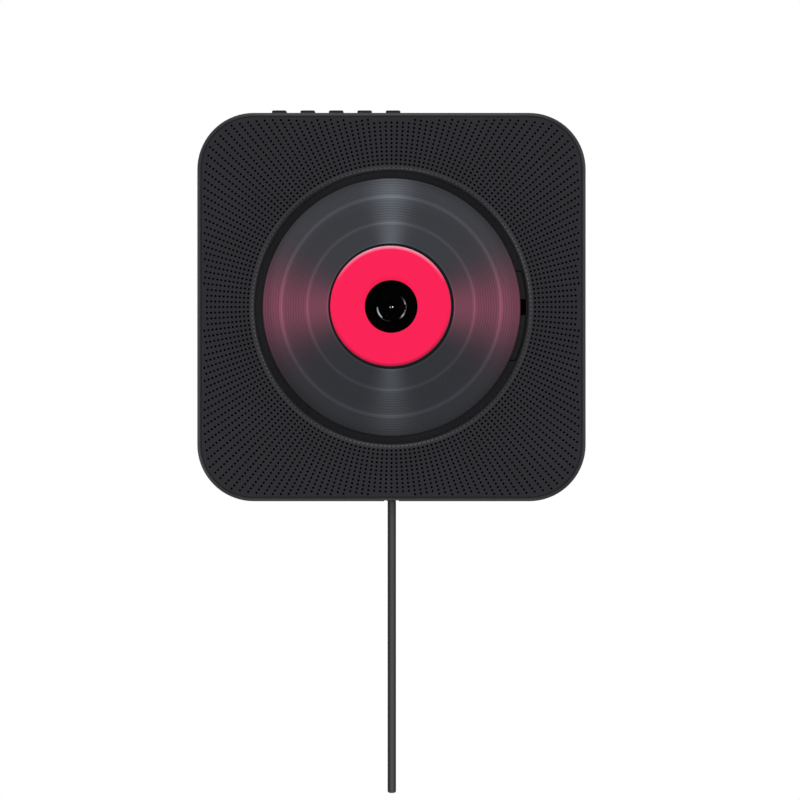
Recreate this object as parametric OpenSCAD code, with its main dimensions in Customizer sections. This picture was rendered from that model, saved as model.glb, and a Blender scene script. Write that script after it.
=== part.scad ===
// Wall mounted disc player. A rounded square case hangs by keyholes on a small wall plate. A disc
// spins on show in a round well, sound holes fan out round it along radial lines, five keys stand on
// the top side and a pull cord below works the switch.
// Everything is drawn as seen from the front, x to the right, y up and z out from the wall, and
// upright() then stands it up so that z is up and the front faces -y. Sizes are in millimetres.

/* [Case] */
// Width and height of the case
case_size = 180; // [176:1:196]
// Corner radius of the case, seen from the front
case_corner_r = 26.2; // [25:0.1:30]
// Depth of the case from the wall to the front panel
case_depth = 40; // [40:0.5:46]
// Wall thickness of the housing and the rear cover
wall_t = 2.4; // [2:0.1:2.8]
// Radius of the rear edge
rear_edge_r = 3; // [2.6:0.1:4]
// Height of the joint between rear cover and housing above the wall
joint_z = 12; // [12:0.5:13.5]
// Width of the rim that frames the front panel
rim_w = 1.63; // [1.5:0.01:1.8]
// Shadow gap between the rim and the front panel
panel_gap = 0.5; // [0.3:0.05:0.7]

/* [Front panel] */
// Thickness of the perforated front panel
panel_t = 2; // [1.6:0.1:2.4]
// Number of radial lines of sound holes
hole_lines = 200; // [160:20:200]
// Radius of the first ring of sound holes
hole_ring_r = 66.43; // [66.2:0.01:67.5]
// Distance between two rings
hole_pitch = 1.894; // [1.8:0.01:2.4]
// Diameter of a sound hole
hole_d = 0.95; // [0.7:0.05:1.1]
// Bare margin between the field of holes and the case outline
field_margin = 3.35; // [3.2:0.05:5]
// Thickness of the baffle behind the front panel
baffle_t = 2; // [1.6:0.1:2.4]

/* [Disc well] */
// Gap between the disc's edge and the wall of the well
disc_gap = 3.4; // [2:0.1:3.6]
// Depth of the well below the front panel
well_depth = 10; // [9.5:0.1:10.5]
// Radius of the rolled lip of the well
lip_r = 2.2; // [1.6:0.1:2.4]
// Thickness of the well's wall
well_wall_t = 2; // [1.6:0.1:2]
// Thickness of the well's floor
tray_t = 2; // [1.6:0.1:2.4]

/* [Disc and drive] */
// Diameter of the disc
disc_d = 120; // [120]
// Thickness of the disc
disc_t = 1.2; // [1.2]
// Diameter of the disc's centre hole
disc_hole_d = 15; // [15]
// Depth of the disc's face below the front panel
disc_sink = 5.5; // [5:0.1:5.8]
// Outer radius of the printed label
label_r = 28; // [24:0.5:30]
// Inner radius of the printed label
label_hole_r = 12.1; // [11:0.1:14]
// Radius of the turntable
turntable_r = 14.2; // [13.5:0.1:14.4]
// Radius of the spindle motor
spindle_motor_r = 11.5; // [10:0.1:12]
// Distance of the lens from the spindle when the sled is fully in
lens_in = 25; // [24.5:0.5:26]
// Travel of the sled
sled_travel = 33; // [28:1:33]
// Height of the slot that the lens looks through
slot_h = 7.5; // [7:0.1:8]

/* [Keys] */
// Number of keys on the top side
key_count = 5; // [5]
// Width of a key
key_w = 6.9; // [6:0.1:7.2]
// Distance between two keys
key_pitch = 13.3; // [12.8:0.1:14]
// Place of the first key from the middle of the case
key_first_x = -52.45; // [-54:0.05:-50]
// Height of a key above the case
key_proud = 1.9; // [1.4:0.1:2.4]
// Travel of a key
key_travel = 0.6; // [0.4:0.05:0.6]

/* [Pull cord] */
// Diameter of the cord
cord_d = 3.64; // [3:0.02:4]
// Diameter of the collar that holds the cord
collar_d = 4.8; // [4.6:0.1:5]
// Length of the cord that hangs below its collar
cord_length = 136.4; // [100:0.1:180]
// Travel of the pull switch
pull_travel = 5; // [3:0.5:5]

/* [Speakers] */
// Gap between a speaker and the ledge of the case
speaker_wall_gap = 0.6; // [0.4:0.1:1]
// Gap between a speaker and the collar round the well
speaker_well_gap = 1.65; // [1.5:0.05:2.5]
// Width of a speaker's flange
flange_w = 5; // [4.6:0.1:5.4]

/* [Wall plate] */
// Width of the wall plate
plate_w = 100; // [96:1:104]
// Height of the wall plate
plate_h = 44; // [40:1:46]
// Thickness of the wall plate
plate_t = 1.6; // [1.2:0.1:1.6]
// Distance between wall screws across
screw_dx = 44; // [36:1:50]
// Distance between wall screws up and down
screw_dy = 26; // [22:1:28]
// Diameter of a wall screw's hole
screw_hole_d = 4.5; // [4:0.1:5]
// Distance between the two hanging studs
stud_dx = 80; // [76:1:84]
// Lift that frees the player from the wall plate
lift = 10; // [9:0.5:11]

/* [Hidden] */

// Shared clearances
seat = 0.3;
slip = 0.15;
run_fit = 0.05;
small = 0.1;

// Case outline and the planes of the front, counted from the wall
half = case_size / 2;
back_z = 1;
front_z = case_depth;
panel_back = front_z - panel_t;
baffle_back = panel_back - baffle_t;
ledge_t = 1.8;
ledge_back = baffle_back - ledge_t;
pocket_half = half - rim_w;
ledge_half = half - wall_t - 3.1;
panel_half = pocket_half - panel_gap;
tongue_w = 1.4;
tongue_h = 3;

// Well, tray and deck
well_r = disc_d / 2 + disc_gap;
lip_join_r = well_r + lip_r;
collar_in_r = max(well_r + well_wall_t, lip_join_r) + seat / 2;
collar_out_r = collar_in_r + 2;
floor_z = front_z - well_depth;
tray_back = floor_z - tray_t;
tray_r = well_r + well_wall_t - small;
ear_angles = [60, 120, 200, 340];
ear_at_r = collar_out_r + 4.35;
ear_r = 4;
window_x = [-23, tray_r - 2.8];
window_y = [-24.6, 16.6];
window_r = 2.5;
window_gap = 0.5;
cover_proud = 0.3;
flange_t = 1.2;
cover_back = tray_back - flange_t;

// Drive
disc_back = front_z - disc_sink - disc_t;
label_at = [-0.25, 0.3];
ring_t = 0.3;
platter_top = disc_back - ring_t;
platter_t = 1.8;
hub_r = disc_hole_d / 2 - 0.2;
hub_top = front_z - disc_sink + 1.8;
shaft_r = 1.1;
chassis_top = floor_z - 11.5;
chassis_t = 2;
chassis_back = chassis_top - chassis_t;
spindle_motor_top = floor_z - 4.5;
damper_x = [-24, tray_r - 11.3];
damper_y = [window_y[0] - 6.9, 24];
damper_spots = [for (x = damper_x, y = damper_y) [x, y]];
damper_flange_t = 2.1;
damper_screw_l = 11.8;
rod_r = 1.5;
rod_y = 13.5;
rod_z = chassis_top + 5.5;
sled_half_y = rod_y + 3;
sled_half_x = 11;
sled_back = chassis_top + 3;
sled_top = cover_back - 0.4;
holder_r = slot_h / 2 - 0.55;
seat_t = 4;
rod_in = lens_in - sled_half_x - seat_t - 0.5;
rod_out = lens_in + sled_half_x + sled_travel + seat_t + 1;

// Gears: a rack on the sled, a small gear that meshes with it, a wheel on the same hub and a pinion
rack_m = 0.8;
wheel_m = 0.6;
small_teeth = 12;
wheel_teeth = 32;
pinion_teeth = 10;
backlash = 0.14;
pressure = 20;
rack_line_y = -sled_half_y - 2.7;
gear_x = 40;
gear_y = rack_line_y - rack_m * small_teeth / 2;
pinion_x = gear_x - wheel_m * (wheel_teeth + pinion_teeth) / 2;
gear_t = 3;
wheel_t = 1.6;
wheel_z = chassis_top + 0.6;
gear_z = sled_back + small;

// Keys
key_z = 28;
key_r = 1.2;
key_edge_r = 0.7;
key_gap = 0.3;
key_flange = 0.7;
key_flange_t = 1;
flange_top = half - wall_t - seat;
stem_end = half - 6.7;
switch_top = stem_end - key_travel - small;
key_board_top = switch_top - 4.1;
board_t = 1.6;
function key_x(i) = key_first_x + i * key_pitch;

// Pull switch
cord_r = cord_d / 2;
collar_r = collar_d / 2;
pull_z = front_z - 6.5;
pull_gap = 1;
notch_front = front_z - 0.5;
notch_depth = 1.2;
collar_end = -half - 0.5;
collar_top = -half + 4.1;
slider_r = 1.5;
pull_box_x = 6.5;
pull_ear_x = 10.5;
slider_head_r = 3;
slider_top = -half + 20.5;
slider_head_t = 2.5;
switch_base = -half + 4.5;
chamber_r = 3.3;
chamber_base = switch_base + 2.5;
spring_r = [1.9, 2.9];

// Speakers, each as large as its corner allows between the well and the case
speaker_place = (ledge_half - speaker_wall_gap + collar_out_r + speaker_well_gap) / (1 + sqrt(2));
speaker_r = ledge_half - speaker_wall_gap - speaker_place;
frame_ring_t = 1.4;
cone_r = speaker_r - flange_w;
basket_back = baffle_back - 8.8;
magnet_r = cone_r - 3.9;
magnet_h = 8.7;

// Wall plate and keyholes
stud_neck_r = 2.2;
stud_head_r = 4.5;
stud_head_t = 1.6;
skin_z = [2, back_z + wall_t];
neck_top = skin_z[1] + 0.4;
recess_y = [-plate_h / 2 - lift - 1, plate_h / 2 + 1];

// Screws
corner_spot = half - 14;
base_spot = [36, half - 8.7];
case_spots = [[-corner_spot, corner_spot], [corner_spot, corner_spot], [-base_spot[0], -base_spot[1]],
    [base_spot[0], -base_spot[1]]];
post_r = 3.8;
boss_r = 3.5;
case_screw_r = 1.4;
case_head_r = 2.8;
head_seat_z = back_z + 2.1;
boss_z = joint_z + 2;
rib_z = joint_z + tongue_h + seat;
tap_r = 1.2;

// Main board and power inlet
board_x = [-half + 10, -half + 56];
board_y = [-half + 56, half - 40];
board_z = 9;
board_inset = 4;
board_spots = [for (x = [board_x[0] + board_inset, board_x[1] - board_inset],
    y = [board_y[0] + board_inset, board_y[1] - board_inset]) [x, y]];
board_screw_l = 5.2;
processor = [14, 14, 1.6];
driver = [10, 7, 1.4];
plug_row = [16, 9, 2.2];
can_r = 3.1;
can_h = 7;
can_pitch = 8;
key_board_over = 8;
key_board_w = 9;
channel_x = [14, 32];
channel_end = -50;
channel_wall = 1.6;
inlet_x = (channel_x[0] + channel_x[1]) / 2;
inlet_z = 7.8;
inlet_r = 4;

// Common shapes

// Stands the front view up: y becomes z, and z out from the wall becomes -y
module upright() rotate([90, 0, 0]) children();

// Turns an extrusion so that it runs up the case, from y0 by h, centred on x and z
module up_from(x, y0, z) translate([x, y0, z]) rotate([-90, 0, 0]) children();

module ring(r_out, r_in, h) linear_extrude(h) difference() {
    circle(r = r_out, $fn = 120);
    circle(r = r_in, $fn = 120);
}

// Square of half width h with corners of radius r, as true arcs
module rsquare(h, r) {
    square([2 * h, 2 * (h - r)], center = true);
    square([2 * (h - r), 2 * h], center = true);
    for (x = [-1, 1], y = [-1, 1]) translate([x * (h - r), y * (h - r)]) circle(r = r, $fn = 96);
}

// Rectangle between two corners with rounded corners
module rrect(x, y, r) {
    translate([x[0] + r, y[0]]) square([x[1] - x[0] - 2 * r, y[1] - y[0]]);
    translate([x[0], y[0] + r]) square([x[1] - x[0], y[1] - y[0] - 2 * r]);
    for (u = [x[0] + r, x[1] - r], v = [y[0] + r, y[1] - r]) translate([u, v]) circle(r = r, $fn = 48);
}

// Carries a profile round the rounded square: profile x is 0 on the outline, profile y is height
module round_outline(h, r) for (q = [0:3]) rotate(90 * q) {
    translate([h - r, h - r]) rotate_extrude(angle = 90, $fn = 96) translate([r, 0]) children();
    translate([h, h - r]) rotate([90, 0, 0]) linear_extrude(2 * (h - r)) children();
}

// Quarter of a round, filled, in the quadrant that the signs name
module quarter(r, sx, sy) intersection() {
    circle(r = r, $fn = 96);
    translate([sx > 0 ? 0 : -r, sy > 0 ? 0 : -r]) square(r);
}

// A plain screw: head, then shank, drawn pointing up the z axis from the head's outer face
module screw(head_r, head_t, r, length) {
    difference() {
        cylinder(r = head_r, h = head_t, $fn = 48);
        for (a = [0, 90]) rotate(a) translate([-head_r * 0.55, -0.3, -small])
            cube([head_r * 1.1, 0.6, head_t * 0.5 + small]);
    }
    translate([0, 0, head_t]) cylinder(r = r, h = length, $fn = 48);
}

// Involute of a circle, as an angle in degrees, at the pressure angle a
function involute(a) = tan(a) * 180 / PI - a;

// Half the angle that a tooth fills at radius r, below the base circle as wide as on it
function tooth_half(r, pitch_r, teeth) =
    let(base_r = pitch_r * cos(pressure), thin = backlash / 4 / pitch_r * 180 / PI)
    90 / teeth - thin + involute(pressure) - (r > base_r ? involute(acos(base_r / r)) : 0);

// Spur gear outline with a tooth centred on the x axis
module spur(m, teeth, addendum, dedendum) {
    pitch_r = m * teeth / 2;
    steps = [-dedendum, -0.3 * m, 0.2 * m, addendum];
    polygon([for (k = [0:teeth - 1], side = [-1, 1], i = [0:3])
        let(r = pitch_r + steps[side < 0 ? i : 3 - i], a = 360 / teeth * k + side * tooth_half(r, pitch_r, teeth))
        r * [cos(a), sin(a)]]);
}

// Field of sound holes

field_half = half - field_margin;
field_r = case_corner_r - field_margin;
ring_count = ceil(field_half * sqrt(2) / hole_pitch);
// Every second line and ring is drilled, so that the panel's mesh stays small; 1 drills them all
drill_step = 2;
panel_wedges = 20;
wedge_step = 0.02;
wedge_lines = hole_lines / panel_wedges;

// Is the point inside the rounded square that the holes fill?
function in_field(p) = let(u = abs(p[0]) - field_half + field_r, v = abs(p[1]) - field_half + field_r)
    u <= 0 || v <= 0 ? max(u, v) <= field_r : norm([u, v]) <= field_r;

// The point on a radial line at ring i
function hole_at(line, i) = let(a = line * 360 / hole_lines) (hole_ring_r + i * hole_pitch) * [cos(a), sin(a)];

// Every hole of the lines from first to last
module holes(first, last) for (line = [first:drill_step:last], i = [0:drill_step:ring_count]) let(p = hole_at(line, i))
    if (in_field(p)) translate(p) circle(d = hole_d, $fn = 16);

// One wedge of the panel, its sides midway between two lines of holes
module panel_wedge(k) difference() {
    intersection() {
        difference() {
            rsquare(panel_half, case_corner_r - half + panel_half);
            circle(r = lip_join_r, $fn = 180);
        }
        polygon(concat([[0, 0]], [for (t = [0, 0.5, 1])
            let(a = ((k + t) * wedge_lines - 0.5) * 360 / hole_lines) 2 * case_size * [cos(a), sin(a)]]));
    }
    holes(k * wedge_lines, (k + 1) * wedge_lines - 1);
}

// Wall plate

module wall_bracket() color("silver") upright() difference() {
    linear_extrude(plate_t) rrect([-plate_w / 2, plate_w / 2], [-plate_h / 2, plate_h / 2], 4);
    for (x = [-1, 1], y = [-1, 1]) translate([x * screw_dx / 2, y * screw_dy / 2, -1])
        cylinder(d = screw_hole_d, h = plate_t + 2, $fn = 48);
    for (x = [-1, 1]) translate([x * stud_dx / 2, 0, -1]) cylinder(r = stud_neck_r, h = plate_t + 2, $fn = 48);
}

module bracket_studs() color("gainsboro") upright() for (x = [-1, 1]) translate([x * stud_dx / 2, 0, 0]) {
    cylinder(r = stud_neck_r, h = neck_top, $fn = 48);
    translate([0, 0, neck_top]) cylinder(r = stud_head_r, h = stud_head_t, $fn = 48);
}

// Case

// Outline of the slot and the wider entry below it, which the studs slide in
module keyhole() {
    circle(r = stud_neck_r + 0.25, $fn = 48);
    translate([-stud_neck_r - 0.25, -lift]) square([2 * stud_neck_r + 0.5, lift]);
    translate([0, -lift]) circle(r = stud_head_r + 0.5, $fn = 48);
}

module cover_profile() {
    translate([-wall_t, back_z + rear_edge_r]) square([wall_t, joint_z - back_z - rear_edge_r]);
    translate([-rear_edge_r, back_z + rear_edge_r]) quarter(rear_edge_r, 1, -1);
    translate([-wall_t - slip - tongue_w, joint_z - 3]) square([tongue_w + slip, 3]);
    translate([-wall_t - slip - tongue_w, joint_z - small]) square([tongue_w, tongue_h + small]);
}

module rear_cover() color("dimgray") upright() difference() {
    union() {
        round_outline(half, case_corner_r) cover_profile();
        translate([0, 0, back_z]) linear_extrude(wall_t) rsquare(half - rear_edge_r, case_corner_r - rear_edge_r);
        for (p = case_spots) translate([p[0], p[1], back_z]) cylinder(r = post_r, h = boss_z - back_z, $fn = 48);
        for (p = board_spots) translate([p[0], p[1], back_z]) cylinder(r = 2.6, h = board_z - back_z, $fn = 48);
        translate([channel_x[0] - channel_wall, -half + rear_edge_r, back_z])
            cube([channel_x[1] - channel_x[0] + 2 * channel_wall, channel_end + channel_wall + half - rear_edge_r,
                joint_z + channel_wall - back_z]);
    }
    translate([0, 0, back_z - 1]) linear_extrude(skin_z[0] - back_z + 1)
        rrect([-plate_w / 2 - 6, plate_w / 2 + 6], recess_y, 5);
    for (x = [-1, 1]) translate([x * stud_dx / 2, 0, 0]) linear_extrude(skin_z[1] + 1) keyhole();
    for (p = case_spots) translate([p[0], p[1], 0]) {
        cylinder(r = case_head_r + 0.4, h = head_seat_z, $fn = 48);
        cylinder(r = case_screw_r + 0.2, h = boss_z + 1, $fn = 48);
    }
    for (p = board_spots) translate([p[0], p[1], board_z - 5]) cylinder(r = tap_r + run_fit, h = 6, $fn = 48);
    translate([channel_x[0], -half - 1, -1])
        cube([channel_x[1] - channel_x[0], channel_end + half + 1, joint_z + 1]);
    up_from(inlet_x, channel_end - 1, inlet_z) cylinder(r = inlet_r, h = channel_wall + 2, $fn = 48);
}

// Plain rubber discs that keep the case off the wall
module rear_pads() color("black") upright() for (x = [-1, 1], y = [-1, 1])
    translate([x * (half - 30), y * (half - 30), 0]) cylinder(r = 4, h = back_z, $fn = 48);

module case_screws() color("gray") upright() for (p = case_spots)
    translate([p[0], p[1], head_seat_z - 1.8]) screw(case_head_r, 1.8, case_screw_r, 24);

module shell_profile() {
    translate([-wall_t, joint_z]) square([wall_t, baffle_back - joint_z]);
    translate([-rim_w, joint_z]) square([rim_w, front_z - rim_w - joint_z]);
    translate([-rim_w, front_z - rim_w]) quarter(rim_w, 1, 1);
    translate([ledge_half - half, ledge_back]) square([half - ledge_half - rim_w, ledge_t]);
}

// Opening in the top side for one key
module key_opening(i) up_from(key_x(i), half - wall_t - 1, key_z) linear_extrude(wall_t + 2)
    rsquare(key_w / 2 + key_gap, key_r + key_gap);

module housing_shell() color("darkslategray") upright() difference() {
    union() {
        round_outline(half, case_corner_r) shell_profile();
        for (p = case_spots) {
            translate([p[0], p[1], boss_z]) cylinder(r = boss_r, h = baffle_back - boss_z, $fn = 48);
            corner = half - case_corner_r;
            out = abs(p[0]) > corner ? atan2(p[1] - sign(p[1]) * corner, p[0] - sign(p[0]) * corner) : -90;
            reach = abs(p[0]) > corner ? case_corner_r - norm([abs(p[0]) - corner, abs(p[1]) - corner]) : half + p[1];
            translate([p[0], p[1], rib_z]) rotate(out) translate([0, -1, 0])
                cube([reach - wall_t / 2, 2, ledge_back + ledge_t / 2 - rib_z]);
        }
    }
    for (p = case_spots) translate([p[0], p[1], boss_z - 1])
        cylinder(r = case_screw_r + run_fit, h = 17, $fn = 48);
    for (i = [0:key_count - 1]) key_opening(i);
    translate([-pull_ear_x - seat, -half + wall_t, ledge_back - 1])
        cube([2 * (pull_ear_x + seat), half - ledge_half, ledge_t + 1 + small]);
    translate([-collar_r - pull_gap, -half - 1, pull_z - collar_r - pull_gap])
        cube([2 * (collar_r + pull_gap), notch_depth + 1, notch_front - pull_z + collar_r + pull_gap]);
    up_from(0, -half - 1, pull_z) cylinder(r = collar_r + seat, h = wall_t + 2, $fn = 48);
}

// Front

module front_baffle() color("dimgray") upright() difference() {
    union() {
        translate([0, 0, baffle_back]) linear_extrude(baffle_t)
            rsquare(pocket_half - slip, case_corner_r - half + pocket_half - slip);
        translate([0, 0, floor_z + seat]) ring(collar_out_r, collar_in_r, panel_back - floor_z - seat);
        for (a = ear_angles) rotate(a) translate([ear_at_r, 0, floor_z])
            cylinder(r = ear_r - 0.8, h = baffle_back + baffle_t / 2 - floor_z, $fn = 48);
    }
    translate([0, 0, floor_z - 1]) cylinder(r = collar_in_r, h = well_depth + 2, $fn = 180);
    for (a = ear_angles) rotate(a) translate([ear_at_r, 0, floor_z - 1])
        cylinder(r = tap_r + run_fit, h = 6, $fn = 48);
    for (x = [-1, 1]) translate([x * speaker_place, -speaker_place, baffle_back - 1]) {
        cylinder(r = cone_r - seat, h = baffle_t + 2, $fn = 96);
        for (a = [0:90:270]) rotate(a) translate([speaker_r - 2, 0, 0]) cylinder(r = 1, h = baffle_t + 2, $fn = 32);
    }
    translate([-pull_box_x - seat, -half, baffle_back - 1])
        cube([2 * (pull_box_x + seat), slider_top + half + 2, baffle_t + 2]);
}

// The perforated panel. Each wedge lies a hair deeper than its neighbour and so keeps its own faces.
module front_grille() color("#2d2e31") upright() for (k = [0:panel_wedges - 1])
    translate([0, 0, panel_back + wedge_step * (k % 2)]) linear_extrude(panel_t - wedge_step) panel_wedge(k);

// Rolled lip and wall of the well
module well_ring() color("#2d2e31") upright() rotate_extrude($fn = 180) {
    translate([well_r, floor_z]) square([well_wall_t, well_depth - lip_r]);
    translate([lip_join_r, front_z - lip_r]) quarter(lip_r, -1, 1);
}

// Outline of the deck window, grown by g
module window(g) rrect([window_x[0] - g, window_x[1] + g], [window_y[0] - g, window_y[1] + g], window_r + g);

module well_tray() color("#1e1e21") upright() difference() {
    union() {
        translate([0, 0, tray_back]) cylinder(r = tray_r, h = tray_t, $fn = 180);
        for (a = ear_angles) rotate(a) translate([0, 0, tray_back]) {
            translate([tray_r - 4, -ear_r, 0]) cube([ear_at_r - tray_r + 4, 2 * ear_r, tray_t]);
            translate([ear_at_r, 0, 0]) cylinder(r = ear_r, h = tray_t, $fn = 48);
        }
        for (p = damper_spots) translate([p[0], p[1], chassis_top + damper_flange_t])
            cylinder(r = 2.5, h = tray_back - chassis_top - damper_flange_t + small, $fn = 48);
    }
    translate([0, 0, tray_back - 1]) linear_extrude(tray_t + 2) intersection() {
        window(window_gap);
        circle(r = tray_r - 2, $fn = 180);
    }
    for (a = ear_angles) rotate(a) translate([ear_at_r, 0, tray_back - 1])
        cylinder(r = tap_r + slip, h = tray_t + 2, $fn = 48);
    for (p = damper_spots) translate([p[0], p[1], chassis_top])
        cylinder(r = tap_r + run_fit, h = 8, $fn = 48);
}

module tray_screws() color("gray") upright() for (a = ear_angles)
    rotate(a) translate([ear_at_r, 0, tray_back - 1.6]) screw(2.4, 1.6, tap_r, 5.6);

module deck_cover() color("#222224") upright() difference() {
    union() {
        translate([0, 0, cover_back]) linear_extrude(floor_z + cover_proud - cover_back) intersection() {
            window(0);
            circle(r = tray_r - 2 - window_gap, $fn = 180);
        }
        translate([0, 0, cover_back]) linear_extrude(flange_t) intersection() {
            window(3);
            circle(r = tray_r, $fn = 180);
        }
    }
    translate([0, 0, cover_back - 1]) cylinder(r = turntable_r + 0.8, h = well_depth, $fn = 96);
    translate([lens_in - holder_r - 3, -slot_h / 2, cover_back - 1])
        cube([well_r - 0.4 - lens_in + holder_r + 3, slot_h, well_depth]);
}

// Drive

module deck_chassis() color("slategray") upright() difference() {
    union() {
        translate([0, 0, chassis_back]) linear_extrude(chassis_t)
            rrect([damper_x[0] - 6, rod_out + 4], [damper_y[0] - 5, damper_y[1] + 6], 4);
        for (x = [rod_in, rod_out - seat_t], y = [-1, 1])
            translate([x, y * rod_y - 2.8, chassis_top - small]) cube([seat_t, 5.6, rod_z - chassis_top + 2.3 + small]);
    }
    for (p = damper_spots) translate([p[0], p[1], chassis_back - 1]) cylinder(r = 2.65, h = chassis_t + 2, $fn = 48);
    for (y = [-1, 1]) translate([rod_in - 1, y * rod_y, rod_z]) rotate([0, 90, 0])
        cylinder(r = rod_r, h = rod_out - rod_in + 2, $fn = 48);
    translate([0, 0, chassis_back - 1]) cylinder(r = spindle_motor_r - 3.5 + run_fit, h = chassis_t + 2, $fn = 48);
    translate([pinion_x, gear_y, chassis_back - 1]) cylinder(r = 1.8 + run_fit, h = chassis_t + 2, $fn = 48);
    translate([gear_x, gear_y, chassis_back - 1]) cylinder(r = 1.2, h = chassis_t + 2, $fn = 48);
}

// Rubber bush: two flanges and the neck between them, round the screw
module deck_dampers() color("black") upright() for (p = damper_spots) translate([p[0], p[1], 0])
    difference() {
        union() {
            translate([0, 0, chassis_top]) cylinder(r = 4, h = damper_flange_t, $fn = 48);
            translate([0, 0, chassis_back - small]) cylinder(r = 2.6, h = chassis_t + 2 * small, $fn = 48);
            translate([0, 0, chassis_back - damper_flange_t]) cylinder(r = 4, h = damper_flange_t, $fn = 48);
        }
        translate([0, 0, chassis_back - 5]) cylinder(r = 1.5, h = 12, $fn = 48);
    }

module damper_screws() color("gray") upright() for (p = damper_spots)
    translate([p[0], p[1], chassis_back - damper_flange_t - 1.4]) screw(3.4, 1.4, tap_r, damper_screw_l);

module spindle_motor() color("lightgray") upright() difference() {
    union() {
        translate([0, 0, chassis_top]) cylinder(r = spindle_motor_r, h = spindle_motor_top - chassis_top - 1, $fn = 96);
        translate([0, 0, spindle_motor_top - 1 - small]) cylinder(r = spindle_motor_r - 6, h = 1 + small, $fn = 96);
        translate([0, 0, chassis_back - 0.6]) cylinder(r = spindle_motor_r - 3.5, h = chassis_t + 1, $fn = 96);
    }
    translate([0, 0, chassis_back - 2]) cylinder(r = shaft_r + run_fit, h = well_depth + chassis_t + 6, $fn = 48);
}

// Steel spindle with a domed tip
module spindle_shaft() color("silver") upright() {
    translate([0, 0, chassis_back - 0.2]) cylinder(r = shaft_r, h = hub_top - chassis_back + 0.2, $fn = 48);
    translate([0, 0, hub_top]) intersection() {
        sphere(r = shaft_r, $fn = 48);
        cylinder(r = shaft_r + 1, h = shaft_r + 1, $fn = 48);
    }
}

module turntable() color("#18181a") upright() difference() {
    union() {
        translate([0, 0, platter_top - platter_t]) cylinder(r = turntable_r, h = platter_t, $fn = 120);
        translate([0, 0, spindle_motor_top + seat])
            cylinder(r = 4, h = platter_top - platter_t - spindle_motor_top - seat + small, $fn = 48);
    }
    translate([0, 0, spindle_motor_top]) cylinder(r = shaft_r, h = well_depth, $fn = 48);
}

module turntable_ring() color("black") upright() translate([0, 0, platter_top])
    ring(turntable_r - 0.4, turntable_r - 3.6, ring_t);

// Slot for one claw, open at the hub's top
module claw_slot(g) translate([2.4 - g, -1.1 - g, disc_back + 0.4 - g]) cube([4.2 + 2 * g, 2.2 + 2 * g, hub_top - disc_back]);

module spindle_hub() color("#141416") upright() difference() {
    translate([0, 0, platter_top]) rotate_extrude($fn = 120) {
        square([hub_r - 0.6, hub_top - platter_top]);
        square([hub_r, hub_top - platter_top - 0.6]);
        translate([hub_r - 0.6, hub_top - platter_top - 0.6]) quarter(0.6, 1, 1);
    }
    translate([0, 0, platter_top - 1]) cylinder(r = shaft_r, h = 6, $fn = 48);
    for (a = [0, 120, 240]) rotate(a) claw_slot(0.15);
}

// Three sprung claws that grip the edge of the disc's hole
module hub_claws() color("#1c1c1e") upright() for (a = [0, 120, 240]) rotate(a) union() {
    translate([2.4, -1.1, disc_back + 0.4]) cube([4.2, 2.2, hub_top - disc_back - 1.1]);
    translate([4.5, 0, hub_top - 0.9]) rotate([90, 0, 0]) translate([0, 0, -1.1]) cylinder(r = 1.1, h = 2.2, $fn = 48);
}

module disc() color("#3c3e43") upright() translate([0, 0, disc_back]) ring(disc_d / 2, disc_hole_d / 2, disc_t);

module disc_label() color("#f0225a") upright() translate([label_at[0], label_at[1], disc_back + disc_t])
    ring(label_r, label_hole_r, 0.2);

module guide_rods() color("silver") upright() for (y = [-1, 1]) translate([rod_in, y * rod_y, rod_z])
    rotate([0, 90, 0]) cylinder(r = rod_r, h = rod_out - rod_in, $fn = 48);

module pickup_sled() color("#2a2a2c") upright() difference() {
    translate([lens_in - sled_half_x, -sled_half_y, sled_back])
        cube([2 * sled_half_x, 2 * sled_half_y, sled_top - sled_back]);
    for (y = [-1, 1]) translate([lens_in - sled_half_x - 1, y * rod_y, rod_z]) rotate([0, 90, 0])
        cylinder(r = rod_r + run_fit, h = 2 * sled_half_x + 2, $fn = 48);
    translate([lens_in, 0, sled_top - 1.5]) cylinder(r = holder_r + 2.6, h = 3, $fn = 48);
}

// Toothed rack along the lower side of the sled, gaps in step with the gear's teeth at rest
module pickup_rack() color("ivory") upright() translate([0, 0, gear_z]) {
    step = PI * rack_m;
    first = ceil(-(sled_travel + 4) / step);
    root = rack_m + small;
    tip = 0.65 * rack_m;
    half_w = step / 4 - backlash / 4;
    translate([gear_x + (first - 0.9) * step, rack_line_y + rack_m, 0])
        cube([(2.8 - first) * step, -sled_half_y - rack_line_y - rack_m, gear_t]);
    for (k = [first:1]) translate([gear_x + (k - 0.5) * step, rack_line_y, 0]) linear_extrude(gear_t)
        polygon([[-half_w - root * tan(pressure), root], [-half_w + tip * tan(pressure), -tip],
            [half_w - tip * tan(pressure), -tip], [half_w + root * tan(pressure), root]]);
}

module lens_holder() color("#111112") upright() translate([lens_in, 0, sled_top - 1.5]) difference() {
    cylinder(r = holder_r, h = floor_z + 0.6 - sled_top + 1.5, $fn = 48);
    translate([0, 0, floor_z + 0.2 - sled_top + 1.5]) cylinder(r = holder_r - 1, h = 2, $fn = 48);
}

module pickup_lens() color("lightblue") upright() translate([lens_in, 0, floor_z + 0.2]) intersection() {
    translate([0, 0, -2.2]) sphere(r = 3.4, $fn = 64);
    cylinder(r = holder_r - 1, h = 3, $fn = 48);
}

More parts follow.
